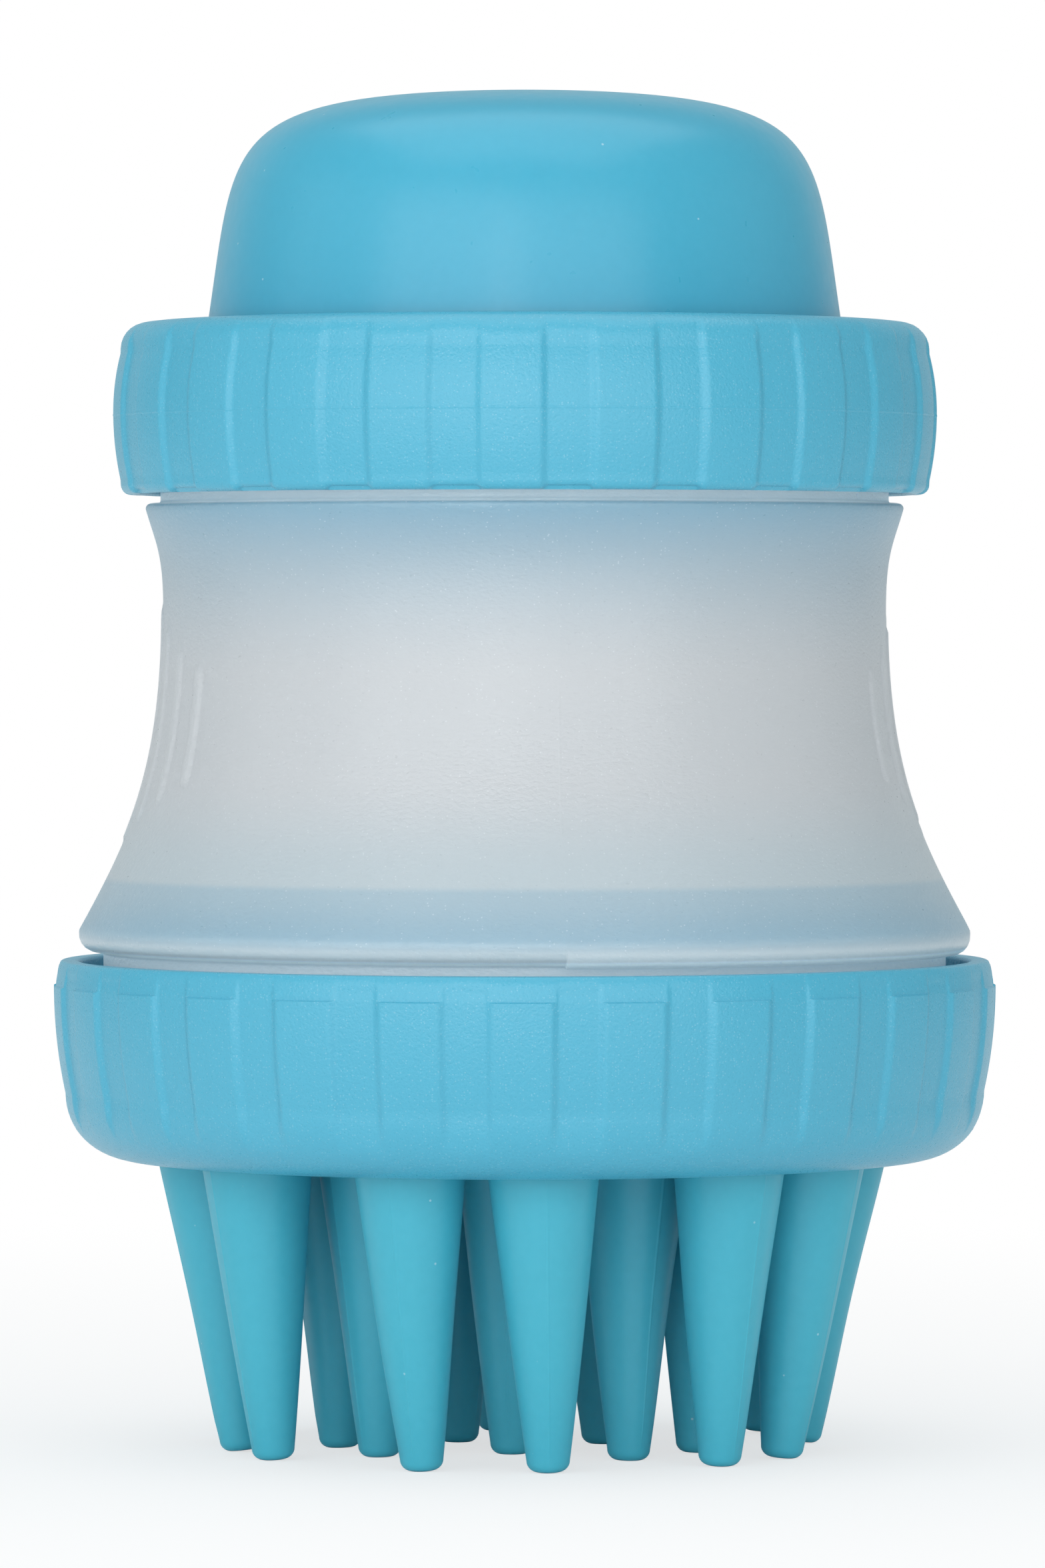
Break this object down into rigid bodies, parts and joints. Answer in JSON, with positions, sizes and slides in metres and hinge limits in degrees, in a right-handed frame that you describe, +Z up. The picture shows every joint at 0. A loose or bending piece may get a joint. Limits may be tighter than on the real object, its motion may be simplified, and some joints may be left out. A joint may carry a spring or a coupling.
{
  "type": "pet wash brush dispenser",
  "caption": "Hand-held pet wash brush: soft bristle pad and press dome, screwed by fluted collars onto a waisted bottle that holds the shampoo.",
  "frame": {"origin": "centre of the bounding box at its bottom: on the bottle's axis, in the plane of the bristle tips", "axes": "+Z up along the bottle's axis, from the bristle tips to the press dome; the grip ribs lie on the +X and -X sides; the bottle's front, where its mould line runs, faces -Y"},
  "size_m": [0.0888, 0.0888, 0.1276],
  "materials": {
    "frosted_bottle": "frosted, translucent",
    "collar_plastic": "fine moulded grain",
    "blue_silicone": "matte, soft",
    "clear_silicone": "matte, milky"
  },
  "bodies": {
    "bottle": {"reservoir": "frosted_bottle"},
    "dome_seat": {"dome_flange": "blue_silicone"},
    "dome": {"pump_dome": "blue_silicone"},
    "upper_collar": {"top_collar": "collar_plastic"},
    "brush_head": {"bristle_pad": "blue_silicone", "pad_bristles": "blue_silicone", "outlet_valve": "clear_silicone"},
    "lower_collar": {"bottom_collar": "collar_plastic"}
  },
  "joints": [
    {"name": "dome_seat_lift", "type": "slide", "parent": "bottle", "child": "dome_seat", "axis": [0, 0, 1], "range_m": [0, 0.006]},
    {"name": "top_collar_turn", "type": "hinge", "parent": "dome_seat", "child": "upper_collar", "pos_m": [0, 0, 0.09785], "axis": [0, 0, 1], "range_deg": [0, 540.1]},
    {"name": "dome_press", "type": "slide", "parent": "dome_seat", "child": "dome", "axis": [0, 0, -1], "range_m": [0, 0.01], "stiffness_N_per_m": 1500},
    {"name": "brush_head_drop", "type": "slide", "parent": "bottle", "child": "brush_head", "axis": [0, 0, -1], "range_m": [0, 0.006]},
    {"name": "bottom_collar_turn", "type": "hinge", "parent": "brush_head", "child": "lower_collar", "pos_m": [0, 0, 0.0367], "axis": [0, 0, -1], "range_deg": [0, 540.1]}
  ],
  "couplings": [
    {"joint": "top_collar_turn", "follows": "dome_seat_lift", "rad_per_m": 1570.8},
    {"joint": "bottom_collar_turn", "follows": "brush_head_drop", "rad_per_m": 1570.8}
  ]
}
